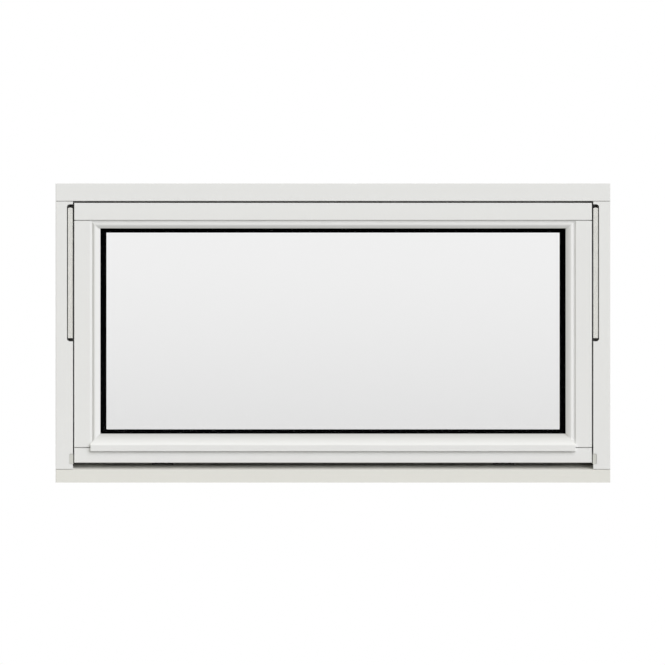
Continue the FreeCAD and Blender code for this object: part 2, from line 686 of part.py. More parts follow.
def make_bottom_bead():
    """The bottom bead sheds water: a slope, a nose that laps over the rail, and a drip groove under it."""
    body = new_body("bead_bottom")
    lip = "nose_front + drip_lip"
    section = [
        ("bead_back", "rebate_foot"),
        ("bead_back", "sight_foot"),
        ("sash_front + slope_fall", "sight_foot"),
        ("nose_front", "rebate_foot + nose_rise", "slope_curve", 1),
        ("nose_front", "nose_foot"),
        (lip, "nose_foot"),
        (lip, "nose_foot + drip_depth"),
        (f"{lip} + drip_width", "nose_foot + drip_depth"),
        (f"{lip} + drip_width", "nose_foot"),
        ("sash_front", "nose_foot"),
        ("sash_front", "rebate_foot"),
    ]
    pad(body, "moulding", "YZ_Plane", "-rebate_half", "2 * rebate_half", outlines=[section])
    ease("Fillet", body, "nose", "nose_round", {"y": "nose_front", "z": "rebate_foot + nose_rise"})
    for word, side in SIDES:
        mitre = [
            (f"{side} * rebate_half", "mitre_foot"),
            (f"{side} * rebate_half", "sight_foot"),
            (f"{side} * sight_half", "sight_foot"),
        ]
        depth = "bead_back - nose_front"
        pocket(body, f"mitre_{word}", "XZ_Plane", "nose_front", depth, outlines=[mitre])


def make_plate(label, start, length, outlines):
    body = new_body(label)
    pad(body, "plate", "XZ_Plane", start, length, outlines=outlines)
    return body


def make_glass():
    sheet = box("-glass_half", "glass_half", "glass_foot", "glass_top")
    make_plate("glass_outer_pane", "glass_front", "pane", [sheet])
    make_plate("glass_inner_pane", "spacer_back", "pane", [sheet])
    seal_half = "glass_half - edge_seal"
    seal_in = box(f"-({seal_half})", seal_half, "glass_foot + edge_seal", "glass_top - edge_seal")
    make_plate("glass_edge_seal", "spacer_front", "cavity", [sheet, seal_in])
    shows = "sight_half - spacer_side"
    spacer_in = box(f"-({shows})", shows, "sight_foot + spacer_end", "sight_top - spacer_end")
    make_plate("glass_spacer", "spacer_front + butyl", "cavity - 2 * butyl", [seal_in, spacer_in])
    tape_half = "sight_half + tape_setback"
    tape_in = box(
        f"-({tape_half})", tape_half, "sight_foot - tape_setback", "sight_top + tape_setback"
    )
    make_plate("glazing_tape_outer", "bead_back", "tape", [sheet, tape_in])
    make_plate("glazing_tape_inner", "glass_back", "tape", [sheet, tape_in])
    for word, side in SIDES:
        middle = f"{side} * (glass_half - block_inset)"
        block = box(
            f"{middle} - block_length / 2",
            f"{middle} + block_length / 2",
            "rebate_foot",
            "glass_foot",
        )
        make_plate(f"setting_block_{word}", "glass_front", "glass_back - glass_front", [block])


def make_hinge(word, side):
    """Gear that carries the sash at one jamb: an arm on two pins, and a shoe that slides in a rail."""
    arm = new_body(f"hinge_arm_{word}")
    outer = f"{side} * arm_outer"
    inner = f"{side} * arm_inner"
    crown = "((arm_thickness / 2) ^ 2 + arm_crown ^ 2) / (2 * arm_crown)"
    bar = [
        (outer, "arm_foot"),
        (outer, "arm_top - arm_crown"),
        (inner, "arm_top - arm_crown", crown, side),
        (inner, "arm_foot"),
    ]
    pad(arm, "bar", "XZ_Plane", "arm_front", "arm_depth", outlines=[bar])
    low_x = "-arm_outer" if side < 0 else "arm_inner"
    pins = [("arm_axis", at, "pin_radius + pin_gap") for at in ("pin_foot", "pin_top")]
    pocket(arm, "pin_holes", "YZ_Plane", low_x, "arm_thickness", circles=pins)

    plate = new_body(f"hinge_plate_{word}")
    low_x = "-slot_wall" if side < 0 else "arm_outer"
    sheet = box(
        "arm_front + plate_setback",
        "arm_front + arm_depth",
        "pin_foot - pin_inset",
        "pin_foot - pin_inset + plate_length",
    )
    pad(plate, "sheet", "YZ_Plane", low_x, "plate_thickness", outlines=[sheet])
    low_x = "-slot_wall" if side < 0 else "arm_inner"
    pin = ("arm_axis", "pin_foot", "pin_radius")
    pad(plate, "pin", "YZ_Plane", low_x, "slot_wall - arm_inner", circles=[pin])

    bracket = new_body(f"hinge_bracket_{word}")
    low_x = "-sash_half" if side < 0 else "sash_half - bracket_thickness"
    sheet = box(
        "arm_axis - bracket_width / 2",
        "arm_axis + bracket_width / 2",
        "bracket_foot",
        "bracket_top",
    )
    pad(bracket, "sheet", "YZ_Plane", low_x, "bracket_thickness", outlines=[sheet])
    low_x = "-arm_outer" if side < 0 else "sash_half - bracket_thickness"
    pin = ("arm_axis", "pin_top", "pin_radius")
    reach = "arm_outer - sash_half + bracket_thickness"
    pad(bracket, "pin", "YZ_Plane", low_x, reach, circles=[pin])

    rail = new_body(f"hinge_rail_{word}")
    wall = f"{side} * slot_wall"
    mouth = f"{side} * jamb_half"
    floor = f"{side} * (slot_wall - rail_wall)"
    channel = [
        (wall, "rail_front"),
        (wall, "rail_back"),
        (mouth, "rail_back"),
        (mouth, "rail_back - rail_wall"),
        (floor, "rail_back - rail_wall"),
        (floor, "rail_front + rail_wall"),
        (mouth, "rail_front + rail_wall"),
        (mouth, "rail_front"),
    ]
    pad(rail, "channel", "XY_Plane", "rail_foot", "rail_top - rail_foot", outlines=[channel])

    shoe = new_body(f"hinge_shoe_{word}")
    block = box(
        f"{side} * (slot_wall - rail_wall - fit_gap)",
        f"{side} * (sash_half + fit_gap)",
        "rail_front + rail_wall + fit_gap",
        "rail_back - rail_wall - fit_gap",
    )
    pad(shoe, "block", "XY_Plane", "shoe_top - shoe_length", "shoe_length", outlines=[block])
    low_x = "-(sash_half + fit_gap)" if side < 0 else "sash_half - shoe_pin_length"
    pin = ("rail_axis", "shoe_top - shoe_length / 2", "shoe_pin_radius")
    pad(shoe, "pin", "YZ_Plane", low_x, "shoe_pin_length + fit_gap", circles=[pin])


def make_guide(word, side):
    """A block at the foot of the jamb that centres the sash as it closes."""
    body = new_body(f"guide_block_{word}")
    outline = rounded_tongue(
        side,
        "jamb_half + guide_width - fit_gap",
        "guide_rise + fit_gap",
        "guide_rise + guide_height - fit_gap",
        "guide_round",
        "jamb_half - guide_proud",
    )
    depth = "guide_depth - guide_setback"
    pad(body, "block", "XZ_Plane", "frame_front + guide_setback", depth, outlines=[outline])


def make_handle():
    rose = new_body("handle_rose")
    plate = box(
        "-rose_width / 2",
        "rose_width / 2",
        "handle_line - rose_height / 2",
        "handle_line + rose_height / 2",
    )
    pad(rose, "plate", "XZ_Plane", "sash_back", "rose_depth", outlines=[plate])
    corners = [
        {"x": f"{across} * rose_width / 2", "z": f"handle_line + {up} * rose_height / 2"}
        for _, across in SIDES
        for _, up in SIDES
    ]
    ease("Fillet", rose, "corners", "rose_corner", *corners)
    rose_back = "sash_back + rose_depth"
    ease("Fillet", rose, "rim", "rose_round", {"y": rose_back})

    neck = new_body("handle_neck")
    shaft = ("0", "handle_line", "neck_radius")
    pad(neck, "shaft", "XZ_Plane", rose_back, "neck_length", circles=[shaft])

    grip = new_body("handle_grip")
    root = "grip_height / 2"
    tip = "grip_tip / 2"
    end = f"{root} - grip_length"
    lever = [
        ("0", f"handle_line - {root}"),
        (root, "handle_line", root, 1),
        ("0", f"handle_line + {root}", root, 1),
        (f"{end} + {tip}", f"handle_line + {tip}"),
        (end, "handle_line", tip, 1),
        (f"{end} + {tip}", f"handle_line - {tip}", tip, 1),
    ]
    pad(grip, "lever", "XZ_Plane", "grip_front", "grip_depth", outlines=[lever])
    ease("Fillet", grip, "hold", "grip_round", {"y": "grip_front + grip_depth"})
    ease("Fillet", grip, "reach", "grip_ease", {"y": "grip_front"})


def make_lock():
    """The lock strip under the bottom rail, its cams, and the keeps on the sill that they draw against."""
    strip = new_body("lock_strip")
    reach = "sash_half - lock_inset"
    sheet = box("lock_front", "lock_front + lock_width", "sash_foot", "sash_foot + lock_thickness")
    pad(strip, "sheet", "YZ_Plane", f"-({reach})", f"2 * ({reach})", outlines=[sheet])
    cams = [(f"{side} * cam_half", "lock_axis", "cam_radius") for _, side in SIDES]
    pad(strip, "cams", "XY_Plane", "cam_foot", "cam_length", circles=cams)
    slope = "sill_fall / (stop_front - frame_front - frame_arris)"
    for word, side in SIDES:
        keep = new_body(f"lock_keep_{word}")
        near = f"sill_face + (keep_front - frame_front - frame_arris) * {slope}"
        far = f"sill_face + (keep_back - frame_front - frame_arris) * {slope}"
        section = [
            ("keep_front", near),
            ("keep_back", far),
            ("keep_back", "sash_foot - keep_gap"),
            ("keep_front", "sash_foot - keep_gap"),
        ]
        start = f"{side} * cam_half - keep_length / 2"
        pad(keep, "block", "YZ_Plane", start, "keep_length", outlines=[section])


def export_all():
    os.makedirs("parts", exist_ok=True)
    failed = [o.Name for o in doc.Objects if {"Invalid", "Error"} & set(o.State)]
    bodies = [o for o in doc.Objects if o.isDerivedFrom("PartDesign::Body")]
    failed += [b.Label for b in bodies if b.Shape.isNull() or not b.Shape.isValid()]
    if failed:
        raise RuntimeError("failed: " + ", ".join(failed))
    for body in bodies:
        body.Shape.exportStep(f"parts/{body.Label}.step")
    print(len(bodies), "pieces")


make_head()
make_sill()
make_seals()
make_top_rail()
make_bottom_rail()
make_top_bead()
make_bottom_bead()
make_glass()
for word, side in SIDES:
    make_jamb(word, side)
    make_stile(word, side)
    make_side_bead(word, side)
    make_hinge(word, side)
    make_guide(word, side)
make_handle()
make_lock()
export_all()
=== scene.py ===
import math

import bmesh
import bpy
from bpy.props import FloatProperty, FloatVectorProperty, IntProperty, PointerProperty
from mathutils import Matrix, Vector


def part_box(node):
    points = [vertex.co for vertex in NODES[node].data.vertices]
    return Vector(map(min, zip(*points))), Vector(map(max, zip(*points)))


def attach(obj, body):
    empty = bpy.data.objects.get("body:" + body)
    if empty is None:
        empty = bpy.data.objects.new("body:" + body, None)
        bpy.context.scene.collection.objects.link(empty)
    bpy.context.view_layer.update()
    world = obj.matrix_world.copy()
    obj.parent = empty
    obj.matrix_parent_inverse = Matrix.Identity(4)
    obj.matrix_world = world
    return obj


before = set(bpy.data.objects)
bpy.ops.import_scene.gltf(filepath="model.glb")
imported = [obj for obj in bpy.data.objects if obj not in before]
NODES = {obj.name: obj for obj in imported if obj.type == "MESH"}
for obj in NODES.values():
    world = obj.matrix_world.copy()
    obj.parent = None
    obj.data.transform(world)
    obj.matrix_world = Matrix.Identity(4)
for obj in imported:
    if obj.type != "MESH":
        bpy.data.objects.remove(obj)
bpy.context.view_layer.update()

bl_info = {
    "name": "Awning Window Finish",
    "version": (1, 0, 0),
    "blender": (4, 5, 0),
    "location": "View3D > Sidebar > Window",
    "description": "Paint, glass, seals, hardware and studio for a top hung awning window",
    "category": "Object",
}

BODY = "root"
SIDES = ("left", "right")
MM = 0.001
WHITE = (1.0, 1.0, 1.0)
UP = (0.0, 0.0, 1.0)
INTO_ROOM = (0.0, 1.0, 0.0)

# The pieces of the window, grouped by what they are made of and by the way their grain runs
LEVEL_TIMBER = ("frame_head", "sash_top_rail", "sash_bottom_rail")
UPRIGHT_TIMBER = tuple(
    f"{part}_{side}" for part in ("frame_jamb", "sash_stile", "bead") for side in SIDES
)
HINGE_ARMS = tuple(f"hinge_arm_{side}" for side in SIDES)
HINGE_STEEL = tuple(f"hinge_{part}_{side}" for part in ("rail", "plate", "bracket") for side in SIDES)
PALE_PLASTIC = tuple(f"{part}_{side}" for part in ("guide_block", "hinge_shoe") for side in SIDES)
WEATHER_SEALS = tuple(f"frame_seal_{place}" for place in ("head", "sill", *SIDES))
LOCK_STEEL = ("lock_strip", "lock_keep_left", "lock_keep_right")
HANDLE = ("handle_rose", "handle_neck", "handle_grip")

# Patterns of the finishes, in cells a metre along x, y and z. Grain and brush marks are for a piece along x.
TIMBER_GRAIN = (22.0, 520.0, 520.0)
BRUSH_MARKS = (5.0, 190.0, 190.0)
PAINT_CLOUD = (9.0, 9.0, 9.0)
PAINT_SPECKS = (900.0, 900.0, 900.0)
GLASS_RIPPLE = (6.0, 6.0, 4.0)
SPACER_RIBS = (260.0, 900.0, 260.0)
RUBBER_SKIN = (700.0, 700.0, 700.0)
RUBBER_BLOOM = (14.0, 60.0, 14.0)
PLASTIC_SKIN = (1100.0, 1100.0, 1100.0)
PLASTIC_FLOW = (40.0, 40.0, 90.0)
STEEL_BLOOM = (45.0, 45.0, 45.0)
STEEL_SKIN = (900.0, 900.0, 900.0)
BAR_LINES = (800.0, 800.0, 8.0)
HANDLE_LINES = (16.0, 600.0, 600.0)
METAL_CLOUD = (30.0, 30.0, 30.0)
FLOOR_CLOUD = (3.0, 3.0, 3.0)

# Shares in the paint: of the clouds in its tone, of the specks in its relief, and of its uneven roughness
CLOUD_SHARE = 0.6
SPECK_SHARE = 0.12
UNEVEN_SHEEN = 0.06

# Depths of the fine relief on the other finishes
FINE_RELIEF = 0.02 * MM
PLASTIC_RELIEF = 0.03 * MM
SPACER_RELIEF = 0.04 * MM
RUBBER_RELIEF = 0.05 * MM

# How steeply the glass turns into a mirror towards a low angle
MIRROR_POWER = 5.0

# A screw head: shares of its radius and rise up the dome, and its recess in shares of the same two
SCREW_DOME = ((1.0, 0.35), (0.93, 0.7), (0.78, 0.92), (0.58, 1.0))
RECESS_RADIUS = 0.46
RECESS_LOBES = 6
RECESS_WAVE = 0.12
RECESS_SIDES = 24
RECESS_FLOOR = 0.25
SHARP_EDGE = math.radians(35)


class Value:
    """A number in a material, which adds Math nodes where it meets an operator."""

    def __init__(self, finish, socket):
        self.finish = finish
        self.socket = socket

    def maths(self, operation, first, second):
        settings = {"operation": operation}
        return self.finish.node("ShaderNodeMath", settings, {0: first, 1: second})

    def __add__(self, other):
        return self.maths("ADD", self, other)

    def __sub__(self, other):
        return self.maths("SUBTRACT", self, other)

    def __rsub__(self, other):
        return self.maths("SUBTRACT", other, self)

    def __mul__(self, other):
        return self.maths("MULTIPLY", self, other)

    def __pow__(self, other):
        return self.maths("POWER", self, other)

    def __lt__(self, other):
        return self.maths("LESS_THAN", self, other)

    __radd__ = __add__
    __rmul__ = __mul__

    def larger(self, other):
        return self.maths("MAXIMUM", self, other)

    def between(self, low, high):
        """Runs from low to high where the number itself runs from 0 to 1."""
        return self * (high - low) + low


class Finish:
    """A material, or the world's light, that is being put together from nodes."""

    def __init__(self, name, kind="materials"):
        self.made = getattr(bpy.data, kind).new(name)
        self.made.use_nodes = True
        self.tree = self.made.node_tree
        self.tree.nodes.clear()

    def node(self, kind, settings=None, inputs=None, output=0):
        """Adds a node: first its settings, then the values or links of its sockets."""
        made = self.tree.nodes.new(kind)
        for key, value in (settings or {}).items():
            setattr(made, key, value)
        for key, value in (inputs or {}).items():
            if isinstance(value, Value):
                self.tree.links.new(value.socket, made.inputs[key])
            else:
                made.inputs[key].default_value = value
        if not made.outputs:
            return None
        return Value(self, made.outputs[output])

    def place(self, scale=(1.0, 1.0, 1.0)):
        """Where a point is on the piece, with each direction stretched by its scale."""
        point = self.node("ShaderNodeTexCoord", output="Object")
        return self.node("ShaderNodeMapping", None, {"Vector": point, "Scale": scale})

    def rise(self):
        """How high a point is."""
        return self.node("ShaderNodeSeparateXYZ", None, {0: self.place()}, "Z")

    def ray(self, output):
        """What Light Path knows about the ray that meets the surface."""
        return self.node("ShaderNodeLightPath", output=output)

    def noise(self, scale, detail=3.0, roughness=0.55):
        """Soft random cells, as many a metre along x, y and z as scale says."""
        sockets = {"Vector": self.place(scale), "Scale": 1.0, "Detail": detail, "Roughness": roughness}
        return self.node("ShaderNodeTexNoise", None, sockets)

    def mix(self, factor, low, high, blend="MIX"):
        """Two colours, each with alpha or from a node, put together by the factor."""
        settings = {"data_type": "RGBA", "blend_type": blend}
        return self.node("ShaderNodeMix", settings, {0: factor, 6: low, 7: high}, 2)

    def tint(self, factor, low, high):
        """A colour that runs from low to high with the factor."""
        return self.mix(factor, opaque(low), opaque(high))

    def vary(self, factor, colour, low, high):
        """A colour whose light runs from its low share to its high share with the factor."""
        return self.tint(factor, shade(colour, low), shade(colour, high))

    def ramp(self, value, low, high):
        """0 where value is at low and 1 where it is at high, with a straight line between them."""
        sockets = {"Value": value, "From Min": low, "From Max": high, "To Min": 0.0, "To Max": 1.0}
        return self.node("ShaderNodeMapRange", {"clamp": True}, sockets)

    def relief(self, height, depth):
        """A bump of that depth in metres, where height runs from 0 to 1."""
        return self.node("ShaderNodeBump", None, {"Height": height, "Distance": depth})

    def surface(self, **sockets):
        """A Principled surface. An underscore in a socket's name stands for a space."""
        named = {key.replace("_", " "): value for key, value in sockets.items()}
        return self.node("ShaderNodeBsdfPrincipled", None, named)

    def layers(self, factor, first, second):
        """Two surfaces or two skies, put together by the factor."""
        return self.node("ShaderNodeMixShader", None, {0: factor, 1: first, 2: second})

    def seen(self):
        """1 for what the camera sees, straight or in a mirror or a glass, and 0 for light on the object."""
        shown = self.ray("Is Camera Ray")
        for kind in ("Glossy", "Transmission"):
            shown = shown.larger(self.ray(f"Is {kind} Ray"))
        return shown * (self.ray("Diffuse Depth") < 0.5)

    def done(self, shader, output="ShaderNodeOutputMaterial"):
        self.node(output, None, {"Surface": shader})
        return self.made


def shade(colour, share):
    """A colour with its light cut to a share."""
    return tuple(channel * share for channel in colour)


def opaque(colour):
    return (*colour, 1.0)


def coat(names, material):
    """Gives CAD pieces their finish."""
    for name in names:
        slots = NODES[name].data.materials
        slots.clear()
        slots.append(material)


def add_object(name, data):
    made = bpy.data.objects.new(name, data)
    bpy.context.scene.collection.objects.link(made)
    return made


def mesh_data(name, mesh):
    """Keeps a bmesh as mesh data and frees it."""
    data = bpy.data.meshes.new(name)
    mesh.to_mesh(data)
    mesh.free()
    return data


def colour_property(name, description, default):
    return FloatVectorProperty(
        name=name, description=description, default=default, subtype="COLOR", size=3, min=0.0, max=1.0
    )


def length_property(name, description, default):
    return FloatProperty(
        name=name, description=description, default=default, unit="LENGTH", subtype="DISTANCE", min=0.0
    )


def place_property(name, description, default):
    return FloatProperty(name=name, description=description, default=default, unit="LENGTH")


def share_property(name, description, default):
    return FloatProperty(
        name=name, description=description, default=default, subtype="FACTOR", min=0.0, max=1.0
    )


def angle_property(name, description, degrees):
    return FloatProperty(
        name=name, description=description, default=math.radians(degrees), subtype="ANGLE"
    )


def strength_property(name, description, default):
    return FloatProperty(name=name, description=description, default=default, min=0.0)


class PaintSettings(bpy.types.PropertyGroup):
    """Satin paint on the timber."""

    paint: colour_property("Paint", "Colour of the frame, sash and beads", (0.795, 0.795, 0.785))
    sill: colour_property("Sill paint", "Colour of the sill, a little warmer", (0.765, 0.758, 0.715))
    # The next seven settings paint light and shade into the beads: painted shade on the bottom bead beside
    # the glass and on the whole top bead, and a painted highlight on the bottom bead just above its nose.
    shade_tone: colour_property("Dust tone", "Tone that dust gives the paint", (1.0, 1.0, 0.98))
    painted_shade: share_property("Dust", "How much dust beside the glass darkens the bottom bead", 0.25)
    painted_highlight: share_property("Rain wash", "How much lighter rain keeps the bottom bead above its nose", 0.11)
    top_bead_shade: share_property("Sheltered dust", "How much dust darkens the top bead, out of the rain", 0.12)
    nose: length_property("Nose", "Height of the bottom bead's nose", 13 * MM)
    highlight_edge: length_property("Wash edge", "Half the width of the wash's soft edge above the nose", 1.5 * MM)
    streaks: length_property("Streaks", "How far the wash wanders up and down", 3 * MM)
    mottle: share_property("Mottle", "How much the paint's tone varies", 0.02)
    sheen: share_property("Roughness", "Roughness of the dry paint", 0.5)
    gloss: share_property("Gloss", "Strength of the paint's reflection", 0.18)
    grain: length_property("Grain", "Depth of the timber's grain under the paint", 0.05 * MM)
    brush: length_property("Brush marks", "Depth of the marks along each member", 0.04 * MM)


class GlassSettings(bpy.types.PropertyGroup):
    """The double glazed unit."""

    tint: colour_property("Tint", "Colour that the glass adds", (0.004, 0.0045, 0.0042))
    # The tint at the top, the tint at the foot and where it grows paint a reflection on the outer pane:
    # lighter at the top and darker low down.
    painted_reflection_top: share_property("Tint at the top", "Share of light each face holds back at its top", 0.06)
    painted_reflection_foot: share_property("Tint at the foot", "Share of light each face holds back low down", 0.12)
    top: length_property("Top of the tint", "Height where the tint starts to grow", 0.524)
    foot: length_property("Foot of the tint", "Height where the tint is full", 0.134)
    fade: FloatProperty(name="Fade", description="How late the tint grows on its way down", default=1.5)
    inner: share_property("Inner pane", "Share of light that each face of the inner pane holds back", 0.01)
    mirror: share_property("Mirror", "Reflection at the lowest angle", 0.9)
    shade: share_property("Shade", "Soft light that each face keeps from the beads beside it", 0.6)
    polish: share_property("Roughness", "Roughness of the polished faces", 0.02)
    ripple: length_property("Ripple", "Depth of the waves in the glass", 0.05 * MM)
    spacer: colour_property("Spacer", "Black spacer between the panes", (0.001, 0.001, 0.0011))
    tape: colour_property("Glazing tape", "Dark tape on both sides of the unit", (0.02625, 0.02625, 0.018))
    blocks: colour_property("Setting blocks", "Dark plastic under the unit", (0.15, 0.15, 0.14))


class HardwareSettings(bpy.types.PropertyGroup):
    """Hinges, guides, seals, lock and handle."""

    bar: colour_property("Hinge arms", "Anodised hinge arms", (0.468, 0.465, 0.43))
    bar_sheen: share_property("Arm roughness", "Roughness of the hinge arms", 0.42)
    steel: colour_property("Steel", "Black hinge and lock steel", (0.08, 0.08, 0.075))
    handle: colour_property("Handle", "Satin handle", (0.66, 0.66, 0.65))
    handle_sheen: share_property("Handle roughness", "Roughness of the handle", 0.34)
    plastic: colour_property("Pale plastic", "Guide blocks and sliding shoes", (0.6, 0.6, 0.56))
    rubber: colour_property("Rubber", "Weather seals", (0.105, 0.105, 0.072))
    screw_radius: length_property("Rose screw head", "Radius of the handle plate's screw heads", 3.6 * MM)
    keep_radius: length_property("Keep screw head", "Radius of the lock keeps' screw heads", 2.6 * MM)
    screw_rise: share_property("Screw rise", "Height of a screw head as a share of its radius", 0.28)
    screw_sides: IntProperty(name="Screw sides", description="Sides of a screw head", default=32, min=12)
    rose_screws: length_property("Rose screws", "Screws from the middle of the handle plate", 25 * MM)
    keep_screws: length_property("Keep screws", "Screws from the middle of a lock keep", 14 * MM)


class StudioSettings(bpy.types.PropertyGroup):
    """Floor, light and camera."""

    floor: colour_property("Floor", "Pale floor", (0.657, 0.657, 0.668))
    bounce: colour_property("Floor bounce", "Colour that the floor throws on the window", (0.3, 0.3, 0.28))
    floor_size: length_property("Floor size", "Side of the floor", 60.0)
    floor_sheen: share_property("Floor roughness", "Roughness of the floor", 0.7)
    sky: colour_property("Sky", "Colour of the light from all round", (1.0, 1.0, 0.79))
    sky_strength: strength_property("Sky strength", "Light from all round", 0.36)
    lamp: colour_property("Lamps", "Colour of both lamps", (0.942, 0.942, 1.0))
    lamp_spread: angle_property("Lamp spread", "Softness of the shadows", 64)
    main_strength: strength_property("Main lamp", "Light of the lamp in front", 2.78)
    main_turn: angle_property("Main turn", "To the viewer's right", 30)
    main_rise: angle_property("Main rise", "Above level", 26)
    room_strength: strength_property("Room lamp", "Light of the lamp on the room side", 2.5)
    room_turn: angle_property("Room turn", "To the viewer's left, from behind", 30)
    room_rise: angle_property("Room rise", "Above level", 4)
    view_width: length_property("View width", "Width of the picture", 1.4268)
    view_x: place_property("View x", "Middle of the picture", -0.00107)
    view_z: place_property("View z", "Height of the picture's middle", 0.32204)
    view_distance: length_property("View distance", "Camera and lamps from the origin", 4.0)


def painted_timber(name, colour, along, painted_light_piece=None):
    """Satin paint with the grain and the brush marks along x or z.

    A piece given painted light gets painted shade at its top, darker beside the glass, and a painted
    highlight, lighter just above its nose.
    """
    paint = bpy.context.scene.window_paint
    finish = Finish(name)
    turn = -1 if along == "z" else 1
    grain = finish.noise(TIMBER_GRAIN[::turn], 4.0, 0.6)
    marks = finish.noise(BRUSH_MARKS[::turn], 2.0)
    cloud = finish.noise(PAINT_CLOUD)
    specks = finish.noise(PAINT_SPECKS, 2.0)
    tone = cloud * CLOUD_SHARE + marks * (1.0 - CLOUD_SHARE)
    base = finish.vary(tone, colour, 1.0 - paint.mottle, 1.0 + paint.mottle)
    # Painted light: the paint gets darker towards the glass as painted shade, and lighter in a band just
    # above the nose as a painted highlight.
    if painted_light_piece:
        low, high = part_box(painted_light_piece)
        edge = low.z + paint.nose
        rise = finish.rise() + (marks - 0.5) * paint.streaks
        highlight_tone = shade(WHITE, 1.0 + paint.painted_highlight)
        shaded_tone = shade(paint.shade_tone, 1.0 - paint.painted_shade)
        # This tone is painted light only, running from the painted highlight up to the painted shade beside
        # the glass.
        weather = finish.tint(finish.ramp(rise, edge, high.z), highlight_tone, shaded_tone)
        above = finish.ramp(rise, edge - paint.highlight_edge, edge + paint.highlight_edge)
        base = finish.mix(above, base, weather, "MULTIPLY")
    depth = paint.grain + paint.brush
    height = grain * (paint.grain / depth) + marks * (paint.brush / depth) + specks * SPECK_SHARE
    surface = finish.surface(
        Base_Color=base,
        Roughness=paint.sheen - UNEVEN_SHEEN + (cloud + grain) * UNEVEN_SHEEN,
        Specular_IOR_Level=paint.gloss,
        Normal=finish.relief(height, depth),
    )
    return finish.done(surface)


def pane_glass(name, with_painted_reflection):
    """Clear glass that mirrors more at a low angle. A pane with a painted reflection holds back more light
    low down, so it is lighter at the top and darker at the foot.
    """
    glass = bpy.context.scene.window_glass
    finish = Finish(name)
    hold = glass.inner
    # Painted reflection: the outer pane holds back more light low down, so it looks lighter at the top and
    # darker at the foot.
    if with_painted_reflection:
        fade = finish.ramp(finish.rise(), glass.top, glass.foot) ** glass.fade
        hold = fade.between(glass.painted_reflection_top, glass.painted_reflection_foot)
    ripple = finish.relief(finish.noise(GLASS_RIPPLE, 1.0), glass.ripple)
    clear = finish.node("ShaderNodeBsdfTransparent")
    shine = finish.surface(Base_Color=opaque(WHITE), Metallic=1.0, Roughness=glass.polish, Normal=ripple)
    sheet = finish.surface(
        Base_Color=opaque(glass.tint),
        Roughness=glass.polish,
        IOR=1.5,
        Specular_IOR_Level=0.1,
        Normal=ripple,
    )
    slant = finish.node("ShaderNodeLayerWeight", None, {"Blend": 0.5}, "Facing")
    pane = finish.layers(slant ** MIRROR_POWER * glass.mirror, clear, shine)
    held = finish.ray("Is Diffuse Ray") * glass.shade + hold
    return finish.done(finish.layers(held, pane, sheet))


def spacer_black(name, colour):
    """Black composite spacer with fine ribs across it."""
    finish = Finish(name)
    ribs = finish.noise(SPACER_RIBS, 2.0)
    surface = finish.surface(
        Base_Color=finish.vary(ribs, colour, 0.6, 1.4),
        Roughness=ribs.between(0.55, 0.75),
        Specular_IOR_Level=0.0,
        Normal=finish.relief(ribs, SPACER_RELIEF),
    )
    return finish.done(surface)


def soft_rubber(name, colour):
    """Matt rubber with a powdery bloom and a fine skin."""
    finish = Finish(name)
    skin = finish.noise(RUBBER_SKIN)
    bloom = finish.noise(RUBBER_BLOOM)
    surface = finish.surface(
        Base_Color=finish.vary(bloom, colour, 0.88, 1.12),
        Roughness=bloom.between(0.62, 0.82),
        Specular_IOR_Level=0.3,
        Normal=finish.relief(skin, RUBBER_RELIEF),
    )
    return finish.done(surface)


def moulded_plastic(name, colour):
    """Moulded plastic with a spark-eroded skin."""
    finish = Finish(name)
    skin = finish.noise(PLASTIC_SKIN, 2.0)
    flow = finish.noise(PLASTIC_FLOW)
    surface = finish.surface(
        Base_Color=finish.vary(flow, colour, 0.95, 1.05),
        Roughness=skin.between(0.4, 0.55),
        Normal=finish.relief(skin, PLASTIC_RELIEF),
    )
    return finish.done(surface)


def black_steel(name, colour):
    """Black passivated steel, with a faint bloom and rubbed patches."""
    finish = Finish(name)
    bloom = finish.noise(STEEL_BLOOM, 4.0)
    skin = finish.noise(STEEL_SKIN, 2.0)
    surface = finish.surface(
        Base_Color=finish.vary(bloom, colour, 0.7, 1.6),
        Roughness=bloom.between(0.42, 0.62),
        Specular_IOR_Level=0.25,
        Normal=finish.relief(skin, FINE_RELIEF),
    )
    return finish.done(surface)


def drawn_metal(name, colour, pattern, sheen):
    """Metal with the fine lines of drawing or brushing, long where the pattern has few cells."""
    finish = Finish(name)
    lines = finish.noise(pattern, 3.0, 0.6)
    cloud = finish.noise(METAL_CLOUD)
    surface = finish.surface(
        Base_Color=finish.vary((lines + cloud) * 0.5, colour, 0.94, 1.06),
        Metallic=1.0,
        Roughness=lines.between(sheen - 0.05, sheen + 0.07),
        Normal=finish.relief(lines, FINE_RELIEF),
    )
    return finish.done(surface)


def edges_of(verts):
    """Every edge on some vertices, once and always in the same order."""
    return list(dict.fromkeys(edge for vert in verts for edge in vert.link_edges))


def extrude_ring(mesh, ring):
    """Extrudes a ring of edges, and gives back the new vertices and edges."""
    grown = bmesh.ops.extrude_edge_only(mesh, edges=ring)["geom"]
    verts = [item for item in grown if isinstance(item, bmesh.types.BMVert)]
    edges = [item for item in grown if isinstance(item, bmesh.types.BMEdge)]
    return verts, edges


